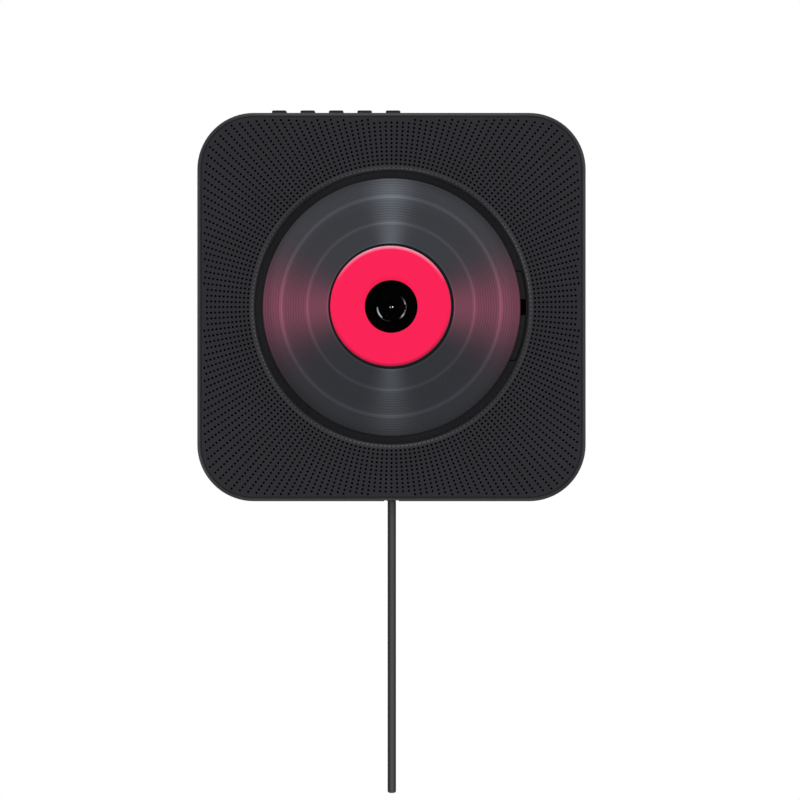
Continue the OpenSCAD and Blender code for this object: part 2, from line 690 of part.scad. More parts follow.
module drive_gear() color("white") upright() translate([gear_x, gear_y, wheel_z]) difference() {
    union() {
        linear_extrude(wheel_t) spur(wheel_m, wheel_teeth, 0.65 * wheel_m, wheel_m);
        cylinder(r = 3.4, h = gear_z - wheel_z + small, $fn = 48);
        translate([0, 0, gear_z - wheel_z]) linear_extrude(gear_t) spur(rack_m, small_teeth, 0.9 * rack_m, rack_m);
    }
    translate([0, 0, -1]) cylinder(r = 1.2 + run_fit, h = 10, $fn = 48);
}

module gear_post() color("silver") upright() translate([gear_x, gear_y, chassis_back])
    cylinder(r = 1.2, h = gear_z + gear_t + 0.8 - chassis_back, $fn = 48);

module sled_motor() color("lightgray") upright() translate([pinion_x, gear_y, 0]) difference() {
    union() {
        translate([0, 0, chassis_back - 8]) cylinder(r = 6.2, h = 8, $fn = 64);
        translate([0, 0, chassis_back - small]) cylinder(r = 1.8, h = chassis_t + small, $fn = 48);
    }
    translate([0, 0, chassis_back - 6]) cylinder(r = 0.5 + run_fit, h = 12, $fn = 32);
}

module motor_pinion() color("goldenrod") upright() translate([pinion_x, gear_y, 0]) {
    translate([0, 0, wheel_z]) linear_extrude(wheel_t)
        rotate(180 / pinion_teeth) spur(wheel_m, pinion_teeth, 0.85 * wheel_m, wheel_m);
    translate([0, 0, chassis_back - 5.5]) cylinder(r = 0.5, h = wheel_z - chassis_back + 5.5 + small, $fn = 32);
}

// Electronics

module main_board() color("darkgreen") upright() translate([0, 0, board_z]) difference() {
    linear_extrude(board_t) rrect(board_x, board_y, 2);
    for (p = board_spots) translate([p[0], p[1], -1]) cylinder(r = tap_r + slip, h = board_t + 2, $fn = 32);
}

module board_parts() color("#151515") upright() translate([0, 0, board_z + board_t]) {
    translate([board_x[0] + 18, board_y[0] + 46, 0]) cube(processor);
    translate([board_x[0] + 32, board_y[0] + 26, 0]) cube(driver);
    translate([board_x[0] + 14, board_y[0] + 12, 0]) cube(plug_row);
    for (k = [0, 1]) translate([board_x[0] + 24, board_y[1] - 20 + k * can_pitch, 0])
        cylinder(r = can_r, h = can_h, $fn = 48);
}

module board_screws() color("gray") upright() for (p = board_spots) translate([p[0], p[1], board_z + board_t])
    mirror([0, 0, 1]) translate([0, 0, -1.4]) screw(2.3, 1.4, tap_r, board_screw_l);

module button_board() color("darkgreen") upright()
    translate([key_x(0) - key_board_over, key_board_top - board_t, key_z - key_board_w])
        cube([key_x(key_count - 1) - key_x(0) + 2 * key_board_over, board_t, baffle_back - key_z + key_board_w]);

module tact_switches() color("#202022") upright() for (i = [0:key_count - 1]) {
    translate([key_x(i) - 3, key_board_top, key_z - 3]) cube([6, switch_top - key_board_top - 0.7, 6]);
    up_from(key_x(i), switch_top - 0.7 - small, key_z) cylinder(r = 1.6, h = 0.7 + small, $fn = 48);
}

// Key: flange inside the wall, stem down to its switch, cap with a rounded top edge
module key(i) upright() {
    up_from(key_x(i), flange_top - key_flange_t, key_z) linear_extrude(key_flange_t)
        rsquare(key_w / 2 + key_gap + key_flange, key_r);
    up_from(key_x(i), stem_end, key_z) cylinder(r = 1.5, h = flange_top - key_flange_t - stem_end + small, $fn = 48);
    up_from(key_x(i), flange_top - small, key_z) {
        linear_extrude(half + key_proud - key_edge_r - flange_top + small) rsquare(key_w / 2, key_r);
        linear_extrude(half + key_proud - flange_top + small) rsquare(key_w / 2 - key_edge_r, key_r - key_edge_r);
        round_outline(key_w / 2, key_r)
            translate([-key_edge_r, half + key_proud - key_edge_r - flange_top + small]) quarter(key_edge_r, 1, 1);
    }
}

module button_1() color("#242529") key(0);
module button_2() color("#242529") key(1);
module button_3() color("#242529") key(2);
module button_4() color("#242529") key(3);
module button_5() color("#242529") key(4);

// Speakers

module at_speaker(side) upright() translate([side * speaker_place, -speaker_place, 0]) children();

module speaker_frame(side) at_speaker(side) difference() {
    union() {
        translate([0, 0, baffle_back - frame_ring_t]) cylinder(r = speaker_r, h = frame_ring_t, $fn = 96);
        translate([0, 0, basket_back])
            cylinder(r1 = magnet_r + 1, r2 = cone_r + 1.2, h = baffle_back - frame_ring_t - basket_back + small, $fn = 96);
    }
    translate([0, 0, basket_back + 1.2])
        cylinder(r1 = magnet_r - 0.4, r2 = cone_r, h = baffle_back - frame_ring_t - basket_back - 1.2, $fn = 96);
    translate([0, 0, baffle_back - frame_ring_t - 1]) cylinder(r = cone_r, h = 4, $fn = 96);
    for (a = [0:90:270]) rotate(a) translate([speaker_r - 2, 0, baffle_back - 4]) cylinder(r = 0.95, h = 6, $fn = 32);
    for (a = [45:90:315]) rotate(a) translate([magnet_r + 0.6, -4, basket_back + 2.2]) cube([8, 8, 3]);
}

// Rubber roll, paper cone and dust cap in one thin turned wall
module speaker_cone(side) at_speaker(side) {
    rim = baffle_back - frame_ring_t;
    cap = basket_back + 2.4;
    roll_at = cone_r - 1.9;
    rotate_extrude($fn = 96) translate([roll_at, rim]) difference() {
        circle(r = 1.9, $fn = 48);
        circle(r = 1.4, $fn = 48);
        translate([-3, -6]) square([6, 6]);
    }
    rotate_extrude($fn = 96) polygon([[roll_at - 1.9, rim + 0.2], [roll_at - 1.3, rim + 0.2], [roll_at - 1.3, rim - 0.3],
        [6.8, cap - 0.5], [0, cap - 0.5], [0, cap], [6.6, cap], [roll_at - 1.9, rim]]);
}

module speaker_magnet(side) at_speaker(side) {
    translate([0, 0, basket_back - magnet_h]) cylinder(r = magnet_r, h = magnet_h, $fn = 96);
    translate([0, 0, basket_back - magnet_h - 1.2]) cylinder(r = magnet_r - 0.8, h = 1.2 + small, $fn = 96);
}

module speaker_frame_left() color("#303030") speaker_frame(-1);
module speaker_frame_right() color("#303030") speaker_frame(1);
module speaker_cone_left() color("#171717") speaker_cone(-1);
module speaker_cone_right() color("#171717") speaker_cone(1);
module speaker_magnet_left() color("gray") speaker_magnet(-1);
module speaker_magnet_right() color("gray") speaker_magnet(1);

module speaker_screws() color("gray") for (side = [-1, 1]) at_speaker(side)
    for (a = [0:90:270]) rotate(a) translate([speaker_r - 2, 0, baffle_back - frame_ring_t - 1.2]) screw(1.7, 1.2, 0.9, 2.8);

// Pull switch

module pull_switch_housing() color("#1c1c1e") upright() difference() {
    union() {
        translate([-pull_box_x, switch_base, pull_z - chamber_r - 1])
            cube([2 * pull_box_x, slider_top + 1.5 - switch_base, panel_back - seat - pull_z + chamber_r + 1]);
        translate([-pull_ear_x, switch_base + 2, baffle_back - 1.8])
            cube([2 * pull_ear_x, slider_top - switch_base - 4, 1.7]);
    }
    up_from(0, switch_base - 1, pull_z) cylinder(r = slider_r + 0.08, h = 10, $fn = 48);
    up_from(0, chamber_base, pull_z) cylinder(r = chamber_r, h = slider_top + 3 - chamber_base, $fn = 48);
}

module pull_slider() color("ivory") upright() {
    up_from(0, collar_top, pull_z) cylinder(r = slider_r, h = slider_top - slider_head_t - collar_top + small, $fn = 48);
    up_from(0, slider_top - slider_head_t, pull_z) cylinder(r = slider_head_r, h = slider_head_t, $fn = 48);
}

module pull_spring() color("silver") upright() up_from(0, chamber_base, pull_z)
    ring(spring_r[1], spring_r[0], slider_top - slider_head_t - chamber_base - small);

module cord_collar() color("#2a2a2c") upright() {
    up_from(0, collar_end, pull_z) cylinder(r1 = cord_r + 0.1, r2 = collar_r, h = 0.8, $fn = 64);
    up_from(0, collar_end + 0.8 - small / 10, pull_z) cylinder(r = collar_r, h = collar_top - collar_end - 0.8, $fn = 64);
}

// The cord hangs straight down from the collar: rings of eight points along its own route
cord_stops = [for (t = [0:0.0625:1]) [0, -pull_z, collar_end - t * cord_length]];
module pull_cord() color("dimgray") {
    sides = 8;
    last = len(cord_stops) - 1;
    points = [for (p = cord_stops, k = [0:sides - 1]) p + cord_r * [cos(360 / sides * k), sin(360 / sides * k), 0]];
    walls = [for (i = [0:last - 1], k = [0:sides - 1]) let(a = i * sides + k, b = i * sides + (k + 1) % sides)
        each [[a, b, b + sides], [a, b + sides, a + sides]]];
    ends = [for (k = [1:sides - 2]) each [[0, k + 1, k], [last * sides, last * sides + k, last * sides + k + 1]]];
    polyhedron(points, concat(walls, ends));
}

// Power inlet: a round socket with a centre pin behind the end of the cable channel
module dc_inlet() color("black") upright() {
    difference() {
        union() {
            translate([inlet_x - 5.2, channel_end + channel_wall, inlet_z - 4.2]) cube([10.4, 11, 8.4]);
            up_from(inlet_x, channel_end + small, inlet_z) cylinder(r = inlet_r - slip, h = channel_wall + small, $fn = 48);
        }
        up_from(inlet_x, channel_end - 1, inlet_z) cylinder(r = 2.75, h = 10, $fn = 48);
    }
    up_from(inlet_x, channel_end + 1, inlet_z) cylinder(r = 1, h = 9, $fn = 32);
}

wall_bracket();
bracket_studs();
rear_cover();
rear_pads();
case_screws();
housing_shell();
front_baffle();
front_grille();
well_ring();
well_tray();
tray_screws();
deck_cover();
deck_chassis();
deck_dampers();
damper_screws();
spindle_motor();
spindle_shaft();
turntable();
turntable_ring();
spindle_hub();
hub_claws();
disc();
disc_label();
guide_rods();
pickup_sled();
pickup_rack();
lens_holder();
pickup_lens();
drive_gear();
gear_post();
sled_motor();
motor_pinion();
main_board();
board_parts();
board_screws();
button_board();
tact_switches();
button_1();
button_2();
button_3();
button_4();
button_5();
speaker_frame_left();
speaker_frame_right();
speaker_cone_left();
speaker_cone_right();
speaker_magnet_left();
speaker_magnet_right();
speaker_screws();
pull_switch_housing();
pull_slider();
pull_spring();
cord_collar();
pull_cord();
dc_inlet();
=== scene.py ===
# %% [markdown]
# # A wall player with its disc on show
#
# The real object is a square player of dark plastic that hangs flat on a wall. A disc spins in an open
# round well, thousands of sound holes fan out round it, five keys stand on the top side and a pull cord
# hangs below. The measured solids come in first. This lesson dresses them and never moves them.

# %% Load the measured solids
import math
import bmesh
import bpy
import numpy as np
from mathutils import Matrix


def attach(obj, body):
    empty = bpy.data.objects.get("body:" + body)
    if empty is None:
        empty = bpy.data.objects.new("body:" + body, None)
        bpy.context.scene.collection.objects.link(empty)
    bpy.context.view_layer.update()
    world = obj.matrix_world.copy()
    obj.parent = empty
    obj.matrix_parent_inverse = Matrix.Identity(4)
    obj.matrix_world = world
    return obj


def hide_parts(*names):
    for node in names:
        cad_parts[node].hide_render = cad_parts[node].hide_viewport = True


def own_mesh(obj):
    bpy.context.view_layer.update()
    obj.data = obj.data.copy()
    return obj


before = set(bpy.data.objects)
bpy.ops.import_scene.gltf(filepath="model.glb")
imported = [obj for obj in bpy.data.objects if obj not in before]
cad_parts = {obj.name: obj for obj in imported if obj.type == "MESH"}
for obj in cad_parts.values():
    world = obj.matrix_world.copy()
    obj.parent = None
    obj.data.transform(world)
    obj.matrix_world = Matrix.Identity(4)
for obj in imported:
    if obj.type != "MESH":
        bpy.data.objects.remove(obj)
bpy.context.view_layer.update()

# %% [markdown]
# ## The camera
#
# The photograph looks straight at the middle of the front from a little under a metre. The player stands
# high and a little left in the picture. A turned camera would make its upright edges lean, so the lens is
# shifted instead, and they stay upright. All lengths here are in metres.

# %% Camera
eye_distance = 0.970
case_depth = 0.040
shown_width = 0.3701

camera_data = bpy.data.cameras.new("photo_camera")
camera_data.sensor_width = 36
camera_data.lens = camera_data.sensor_width * (eye_distance - case_depth) / shown_width
camera_data.shift_x = 0.01066
camera_data.shift_y = -0.11618
camera = bpy.data.objects.new("photo_camera", camera_data)
camera.location = (0, -eye_distance, 0)
camera.rotation_euler = (math.radians(90), 0, 0)
bpy.context.scene.collection.objects.link(camera)
bpy.context.scene.camera = camera
print("lens in millimetres:", round(camera_data.lens, 2))

# %% [markdown]
# ## Meshes from arrays
#
# Each new surface is worked out with numpy as one array of points. Faces are rows of point numbers. Shapes
# are drawn in millimetres as seen from the front: x to the right, y up and z out from the wall. One
# function stands them up in the world, where the front faces -y.

# %% Mesh helpers
def stand_up(points):
    """World place in metres of points drawn from the front: x stays, z turns to -y and y to z."""
    points = np.asarray(points, float)
    return np.stack([points[..., 0], -points[..., 2], points[..., 1]], -1) * 0.001


def new_piece(name, points, faces, body, finish, smooth=40, merge=True):
    """Mesh from an array of points and a list of arrays of faces, each array with its own corner count.
    With merge, its normals are made to point outwards. Edges sharper than smooth degrees stay sharp."""
    faces = [np.asarray(f, np.int32) for f in (faces if isinstance(faces, list) else [faces])]
    counts = np.concatenate([np.full(len(f), f.shape[1], np.int32) for f in faces])
    starts = np.concatenate([[0], np.cumsum(counts)[:-1]]).astype(np.int32)
    mesh = bpy.data.meshes.new(name)
    mesh.vertices.add(len(points))
    mesh.vertices.foreach_set("co", stand_up(points).astype(np.float32).ravel())
    mesh.loops.add(int(counts.sum()))
    mesh.loops.foreach_set("vertex_index", np.concatenate([f.ravel() for f in faces]))
    mesh.polygons.add(len(counts))
    mesh.polygons.foreach_set("loop_start", starts)
    mesh.polygons.foreach_set("loop_total", counts)
    mesh.update(calc_edges=True)
    if merge:
        work = bmesh.new()
        work.from_mesh(mesh)
        bmesh.ops.remove_doubles(work, verts=work.verts, dist=1e-7)
        bmesh.ops.recalc_face_normals(work, faces=work.faces)
        work.to_mesh(mesh)
        work.free()
    mesh.shade_smooth()
    mesh.set_sharp_from_angle(angle=math.radians(smooth))
    piece = bpy.data.objects.new(name, mesh)
    bpy.context.scene.collection.objects.link(piece)
    mesh.materials.append(finish)
    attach(piece, body)
    return piece


def grid_faces(rows, columns, closed_rows, closed_columns):
    """Quads between neighbours of a grid of points numbered row by row."""
    i = np.arange(rows if closed_rows else rows - 1)[:, None]
    j = np.arange(columns if closed_columns else columns - 1)[None, :]
    next_i, next_j = (i + 1) % rows, (j + 1) % columns
    corners = [i * columns + j, next_i * columns + j, next_i * columns + next_j, i * columns + next_j]
    return np.stack(corners, -1).reshape(-1, 4)


def lathe(profile, steps=256):
    """Points and faces of a closed profile of (radius, height), turned once round the player's axis."""
    profile = np.asarray(profile, float)
    turn = np.linspace(0, 2 * math.pi, steps, endpoint=False)[:, None]
    points = np.stack([profile[:, 0] * np.cos(turn), profile[:, 0] * np.sin(turn),
                       profile[:, 1] + 0 * turn], -1)
    return points.reshape(-1, 3), grid_faces(steps, len(profile), True, True)


def arc(centre, radius, start, end, steps):
    """Points on part of a circle, from start to end degrees."""
    angle = np.radians(np.linspace(start, end, steps))
    return [[centre[0] + radius * c, centre[1] + radius * s] for c, s in zip(np.cos(angle), np.sin(angle))]


def triangles(piece):
    """How many triangles a piece has, each face of n corners counting as n - 2."""
    return sum(len(p.vertices) - 2 for p in piece.data.polygons)


# %% [markdown]
# ## Shader sums in plain Python
#
# A number in a shader is the output of a node. Wrapped in a small class, it takes part in sums, and each
# sum adds its Math node. Every other node comes from one method, so that a finish reads like its recipe.

# %% Shader helpers
class Wire:
    """An output of a node that can be added, multiplied, raised to a power and so on."""

    def __init__(self, recipe, socket):
        self.recipe = recipe
        self.socket = socket

    def sum(self, operation, *others):
        inputs = dict(enumerate((self,) + others))
        return self.recipe.add("ShaderNodeMath", {"operation": operation}, inputs)

    def __add__(self, other):
        return self.sum("ADD", other)

    def __sub__(self, other):
        return self.sum("SUBTRACT", other)

    def __mul__(self, other):
        return self.sum("MULTIPLY", other)

    def __truediv__(self, other):
        return self.sum("DIVIDE", other)

    def __pow__(self, other):
        return self.sum("POWER", other)

    def __radd__(self, other):
        return self + other

    def __rmul__(self, other):
        return self * other

    def __rsub__(self, other):
        return self * -1.0 + other

    def abs(self):
        return self.sum("ABSOLUTE")

    def sine(self):
        return self.sum("SINE")

    def below(self, other):
        """1 where the value is less than other, else 0."""
        return self.sum("LESS_THAN", other)

    def bell(self, share):
        """e to the minus share of the square: 1 at zero, falling off softly to both sides."""
        return (self * self * -share).sum("EXPONENT")

    def clamp(self):
        return self.recipe.add("ShaderNodeClamp", {}, {0: self})


class Recipe:
    """A material with one main shader, and the nodes that feed it."""

    def __init__(self, name, rough, metal=0.0, gloss=0.5):
        self.material = bpy.data.materials.new(name)
        self.material.use_nodes = True
        self.tree = self.material.node_tree
        self.main = self.tree.nodes["Principled BSDF"]
        self.main.inputs["Roughness"].default_value = rough
        self.main.inputs["Metallic"].default_value = metal
        self.main.inputs["Specular IOR Level"].default_value = gloss
        self.place = self.add("ShaderNodeTexCoord", {}, {}, "Object")

    def add(self, kind, settings, inputs, output=0):
        """One node: its settings first, then the values or links of its inputs. Gives back one output."""
        node = self.tree.nodes.new(kind)
        for key, value in settings.items():
            setattr(node, key, value)
        for key, value in inputs.items():
            self.feed(node.inputs[key], value)
        return Wire(self, node.outputs[output])

    def feed(self, socket, value):
        if isinstance(value, Wire):
            self.tree.links.new(value.socket, socket)
        else:
            socket.default_value = (*value, 1) if socket.type == "RGBA" and len(value) == 3 else value

    def set(self, socket, value):
        self.feed(self.main.inputs[socket], value)

    def noise(self, size_mm, detail=3.0):
        """Cloudy noise from 0 to 1 whose blots are about size_mm across."""
        inputs = {"Vector": self.place, "Scale": 1000 / size_mm, "Detail": detail, "Roughness": 0.55}
        return self.add("ShaderNodeTexNoise", {}, inputs)

    def stretched(self, per_metre, detail):
        """Cloudy noise with its own number of blots in a metre along x, y and z."""
        place = self.add("ShaderNodeMapping", {}, {"Vector": self.place, "Scale": per_metre})
        return self.add("ShaderNodeTexNoise", {}, {"Vector": place, "Scale": 1.0, "Detail": detail})

    def mix(self, share, first, second):
        """Colour that goes from first to second as share goes from 0 to 1."""
        return self.add("ShaderNodeMix", {"data_type": "RGBA"}, {0: share, 6: first, 7: second}, 2)

    def bump(self, height, depth_mm):
        """Tilts the surface as if height, from 0 to 1, stood depth_mm proud."""
        inputs = {"Height": height, "Distance": depth_mm * 0.001, "Strength": 1.0}
        self.set("Normal", self.add("ShaderNodeBump", {}, inputs))

    def axes(self):
        """The three coordinates of the point in millimetres: across, towards the wall and up."""
        parts = self.tree.nodes.new("ShaderNodeSeparateXYZ")
        self.tree.links.new(self.place.socket, parts.inputs[0])
        return [Wire(self, output) * 1000.0 for output in parts.outputs]

    def round_middle(self, x=0.0, y=0.0):
        """Millimetres across and up from the middle (x, y), and the distance to it."""
        across, _, up = self.axes()
        across, up = across - x, up - y
        return across, up, (across * across + up * up) ** 0.5

    def degrees(self, across, up):
        """Angle of a point round the middle, from -180 to 180 degrees, with 0 to the right."""
        return self.add("ShaderNodeMath", {"operation": "ARCTAN2"}, {0: up, 1: across}) * (180 / math.pi)


def shown(red, green, blue):
    """Linear colour of the levels out of 255 that a screen shows."""
    return tuple(((level / 255 + 0.055) / 1.055) ** 2.4 for level in (red, green, blue))


# %% [markdown]
# ## The case plastic
#
# The case, the panel and the keys are dark charcoal plastic with a fine matt skin. Such a skin comes from
# an etched mould: pits a few hundredths of a millimetre deep, sheen a little uneven. A picture of such a
# skin would repeat, so two sizes of noise give the pits, and a wide soft one moves the roughness and a
# trace of the colour.

# %% Matt moulded plastic
def moulded(name, colour, rough=0.5, grain_mm=0.35, depth_mm=0.012, gloss=0.14, spread=0.12):
    """Plastic whose colour swings by the share spread. Its fine pits are grain_mm wide, its coarse ones
    3.5 times that."""
    recipe = Recipe(name, rough, gloss=gloss)
    cloud = recipe.noise(18, 2)
    fine = recipe.noise(grain_mm, 2)
    coarse = recipe.noise(grain_mm * 3.5, 2)
    darker = tuple(c * (1 - spread) for c in colour)
    lighter = tuple(c * (1 + spread) for c in colour)
    recipe.set("Base Color", recipe.mix(cloud, darker, lighter))
    recipe.set("Roughness", (cloud - 0.5) * 0.12 + (fine - 0.5) * 0.1 + rough)
    recipe.bump(fine * 0.7 + coarse * 0.3, depth_mm)
    return recipe.material


charcoal = moulded("charcoal_plastic", (0.0167, 0.0169, 0.0206))
case_plastic = moulded("case_plastic", (0.0150, 0.0150, 0.0178), rough=0.42, gloss=0.24)
lip_plastic = moulded("lip_plastic", (0.0143, 0.0150, 0.0186), rough=0.38, gloss=0.31)
back_plastic = moulded("back_plastic", (0.014, 0.0142, 0.0165), rough=0.6, grain_mm=0.6, depth_mm=0.03)
well_plastic = moulded("well_plastic", (0.0128, 0.0130, 0.0176), rough=0.55, gloss=0.34)
deck_plastic = moulded("deck_plastic", (0.0150, 0.0150, 0.0150), rough=0.6, grain_mm=0.5, gloss=0.35)
inner_plastic = moulded("inner_plastic", (0.005, 0.005, 0.0055), rough=0.6, gloss=0.06)
key_plastic = moulded("key_plastic", (0.009, 0.009, 0.0125), rough=0.42)
# near black painted shade for the walls and floors of the holes; the lip's small marks use it too
shade_and_mark_black = moulded("hole_shadow", (0.0006, 0.0006, 0.0007), rough=0.9, gloss=0.0)
print("finishes, with those that the bare solids bring:", len(bpy.data.materials))

# %% [markdown]
# ## Metals, rubber and the rest of the works
#
# Behind the front sit a steel deck, motors, boards and screws. Nobody sees them from the front, yet they
# show when the part is taken apart, so each gets the finish of its kind. Rolled and drawn metal has fine
# lines one way, so its noise is stretched, and moulded or painted parts share the recipe of the case.

# %% Metals
def metal(name, colour, rough, streak_mm=(6.0, 0.25, 0.25), depth_mm=0.004):
    """Metal with fine lines: noise whose blots are as long along x, y and z as streak_mm says."""
    recipe = Recipe(name, rough, metal=1.0)
    streaks = recipe.stretched(tuple(1000 / s for s in streak_mm), 3.0)
    recipe.set("Base Color", recipe.mix(streaks, tuple(c * 0.85 for c in colour), colour))
    recipe.set("Roughness", (streaks - 0.5) * 0.2 + rough)
    recipe.bump(streaks, depth_mm)
    return recipe.material


zinc = metal("zinc_plate", (0.62, 0.63, 0.65), 0.38)
screw_metal = metal("screw_metal", (0.3, 0.3, 0.32), 0.35, (0.6, 0.6, 0.6))
motor_steel = metal("motor_steel", (0.6, 0.6, 0.61), 0.3, (0.3, 5.0, 0.3))
bright_steel = metal("bright_steel", (0.8, 0.8, 0.8), 0.16, (1.5, 0.4, 0.4), 0.001)
gear_brass = metal("gear_brass", (0.72, 0.55, 0.24), 0.3, (0.8, 0.8, 0.8))
cast_magnet = metal("cast_magnet", (0.14, 0.14, 0.15), 0.6, (0.8, 0.8, 0.8), 0.02)

# %% Rubber, paint, paper and boards
coated_steel = moulded("coated_steel", (0.006, 0.006, 0.0065), rough=0.45, grain_mm=0.2, gloss=0.06)
basket_paint = moulded("basket_paint", (0.03, 0.03, 0.03), rough=0.4)
rubber = moulded("soft_rubber", (0.014, 0.014, 0.014), rough=0.75, grain_mm=0.5, depth_mm=0.02)
ivory_nylon = moulded("ivory_nylon", (0.72, 0.70, 0.63), rough=0.4)
cone_paper = moulded("cone_paper", (0.014, 0.014, 0.014), rough=0.85, grain_mm=0.9, depth_mm=0.05)
chip_black = moulded("chip_black", (0.016, 0.016, 0.017), rough=0.5)
board_green = moulded("board_green", (0.012, 0.085, 0.035), rough=0.35, grain_mm=2.0, depth_mm=0.01,
                      spread=0.3)
print("finishes, with those that the bare solids bring:", len(bpy.data.materials))

# %% [markdown]
# ## Spindle tip and lens
#
# The end of the spindle is a dark turned dot in the middle of the hub. Two pale specks of mirrored light
# lie on it, too small for any lamp of this scene, so they are part of its colour. The lens has a bluish
# coating under a clear coat.

# %% Spindle tip and lens
speck_x = (-0.8, 0.6)
speck_r = 0.4

tip = Recipe("dark_spindle", 0.14, metal=1.0)
across, _, up = tip.axes()
tip_colour = tip.mix(tip.noise(0.5, 2), (0.004, 0.004, 0.005), (0.006, 0.006, 0.007))
for x in speck_x:
    off = across - x
    speck = (1.2 - (off * off + up * up) ** 0.5 / speck_r).clamp()
    tip_colour = tip.mix(speck, tip_colour, (0.55, 0.62, 0.75))
tip.set("Base Color", tip_colour)
dark_spindle = tip.material

lens = Recipe("coated_lens", 0.05, gloss=0.6)
lens.set("Base Color", lens.mix(lens.noise(1.5), (0.06, 0.07, 0.16), (0.05, 0.12, 0.2)))
lens.set("Coat Weight", 1.0)
coated_lens = lens.material
print("specks on the spindle at:", speck_x, "lens under a coat")

# %% [markdown]
# ## A finish for every solid
#
# The solids arrive without a look. One list says which finish goes on which of them, also for those whose
# place a new piece takes later, so that no solid is forgotten.

# %% Finish each solid
finishes = [
    (zinc, ["wall_bracket", "bracket_studs"]),
    (screw_metal, ["case_screws", "tray_screws", "damper_screws", "board_screws", "speaker_screws"]),
    (motor_steel, ["spindle_motor", "sled_motor"]),
    (bright_steel, ["guide_rods", "gear_post", "pull_spring"]),
    (gear_brass, ["motor_pinion"]),
    (cast_magnet, ["speaker_magnet_left", "speaker_magnet_right"]),
    (coated_steel, ["deck_chassis"]),
    (basket_paint, ["speaker_frame_left", "speaker_frame_right"]),
    (cone_paper, ["speaker_cone_left", "speaker_cone_right"]),
    (rubber, ["rear_pads", "deck_dampers", "turntable_ring", "pull_cord"]),
    (ivory_nylon, ["pickup_rack", "drive_gear", "pull_slider"]),
    (board_green, ["main_board", "button_board"]),
    (chip_black, ["board_parts", "tact_switches", "dc_inlet"]),
    (back_plastic, ["rear_cover"]),
    (case_plastic, ["housing_shell"]),
    (charcoal, ["front_grille"]),
    (lip_plastic, ["well_ring"]),
    (well_plastic, ["well_tray"]),
    (deck_plastic, ["deck_cover"]),
    (inner_plastic, ["front_baffle", "turntable", "spindle_hub", "hub_claws", "disc", "disc_label"]),
    (inner_plastic, ["pickup_sled", "lens_holder", "pull_switch_housing"]),
    (key_plastic, ["button_%d" % number for number in range(1, 6)] + ["cord_collar"]),
    (dark_spindle, ["spindle_shaft"]),
    (coated_lens, ["pickup_lens"])]


def dress(node, finish):
    """Puts one finish on a solid, in place of all that it has."""
    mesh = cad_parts[node].data
    mesh.materials.clear()
    mesh.materials.append(finish)


for finish, nodes in finishes:
    for node in nodes:
        dress(node, finish)
dressed = {node for _, nodes in finishes for node in nodes}
print("solids without a finish:", sorted(set(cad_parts) - dressed))

# %% [markdown]
# ## The pull cord
#
# The cord hangs straight down from its collar and ends in a plain, slightly rounded end. A curve with a
# round bevel would do, but its end would be sharp. So a ring of points is carried along the drop and drawn
# in at the end. The skin is smooth rubber with a faint lengthwise grain. A painted highlight makes a pale
# strip down its middle, seen from the front or the back, and painted shade darkens its left and right sides.

# %% Shape of the cord
cord_top = -90.5
cord_length = 135.6
cord_width = 3.94
cord_out = 33.5
cord_x = 0.15
cord_steps = 36
cord_around = 32
end_round = 0.7
end_steps = 10
pole = 0.001


def hanging_cord():
    """Rings along the drop: full radius, then drawn in by a quarter circle, and a tiny ring at each end."""
    bend = np.radians(np.linspace(8, 90, end_steps))
    straight = cord_length - end_round
    full = cord_width / 2
    drop = np.concatenate([[0], np.linspace(0, straight, cord_steps), straight + end_round * np.sin(bend),
                           [cord_length]])
    radius = np.concatenate([[pole], np.full(cord_steps, full), full - end_round + end_round * np.cos(bend),
                             [pole]])[:, None]
    turn = np.linspace(0, 2 * math.pi, cord_around, endpoint=False)
    rings = np.stack([cord_x + radius * np.cos(turn), cord_top - drop[:, None] + 0 * turn,
                      cord_out + radius * np.sin(turn)], -1)
    return rings.reshape(-1, 3), grid_faces(len(drop), cord_around, False, True)


# %% Skin of the cord
highlight_strip_x = cord_x + 0.2
highlight_strip_half = 1.25

cord_skin = Recipe("cord_rubber", 0.6, gloss=0.05)
fibre = cord_skin.stretched((1400.0, 1400.0, 90.0), 2.0)
across, _, _ = cord_skin.axes()
# painted highlight down the cord's middle, painted shade on its left and right sides
painted_highlight_strip = (1.0 - ((across - highlight_strip_x) / highlight_strip_half).abs() ** 3).clamp()
highlight_grain = cord_skin.mix(fibre, (0.066, 0.065, 0.064), (0.080, 0.079, 0.078))
cord_skin.set("Base Color", cord_skin.mix(painted_highlight_strip, (0.020, 0.020, 0.021), highlight_grain))
cord_skin.set("Roughness", fibre * 0.15 + 0.42)
cord_skin.bump(fibre, 0.02)
print("nodes in the cord's finish:", len(cord_skin.tree.nodes))

# %% The cord
cord = new_piece("pull_cord_skin", *hanging_cord(), "pull", cord_skin.material)
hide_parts("pull_cord")
print("cord in millimetres:", cord_length, "long and", cord_width, "thick")

# %% [markdown]
# ## The spring above the cord
#
# The solid of the spring is a plain tube. Here a wire winds round inside that tube. Its middle line climbs
# more slowly near both ends, where the turns of a pressure spring lie closer. A pull on the cord shortens
# it from 11 to 6 mm towards its lower end.

# %% Spring
spring_low, spring_high = -83.0, -72.0
spring_turns = 7
spring_r = 2.4
wire_r = 0.3
end_slowing = 0.4


def coil(steps=24, around=10):
    """Tube along a helix: the height is the turn less end_slowing of a sine of it, so it starts slowly."""
    turn = np.linspace(0, spring_turns, spring_turns * steps + 1)[:, None]
    share = turn / spring_turns
    climb = share - end_slowing / (2 * math.pi) * np.sin(2 * math.pi * share)
    middle_y = spring_low + wire_r + (spring_high - spring_low - 2 * wire_r) * climb
    ring = np.linspace(0, 2 * math.pi, around, endpoint=False)
    out = spring_r + wire_r * np.cos(ring) + 0 * turn
    angle = 2 * math.pi * turn
    rings = np.stack([out * np.cos(angle), middle_y + wire_r * np.sin(ring),
                      cord_out + out * np.sin(angle)], -1)
    return rings.reshape(-1, 3), grid_faces(len(turn), around, False, True)


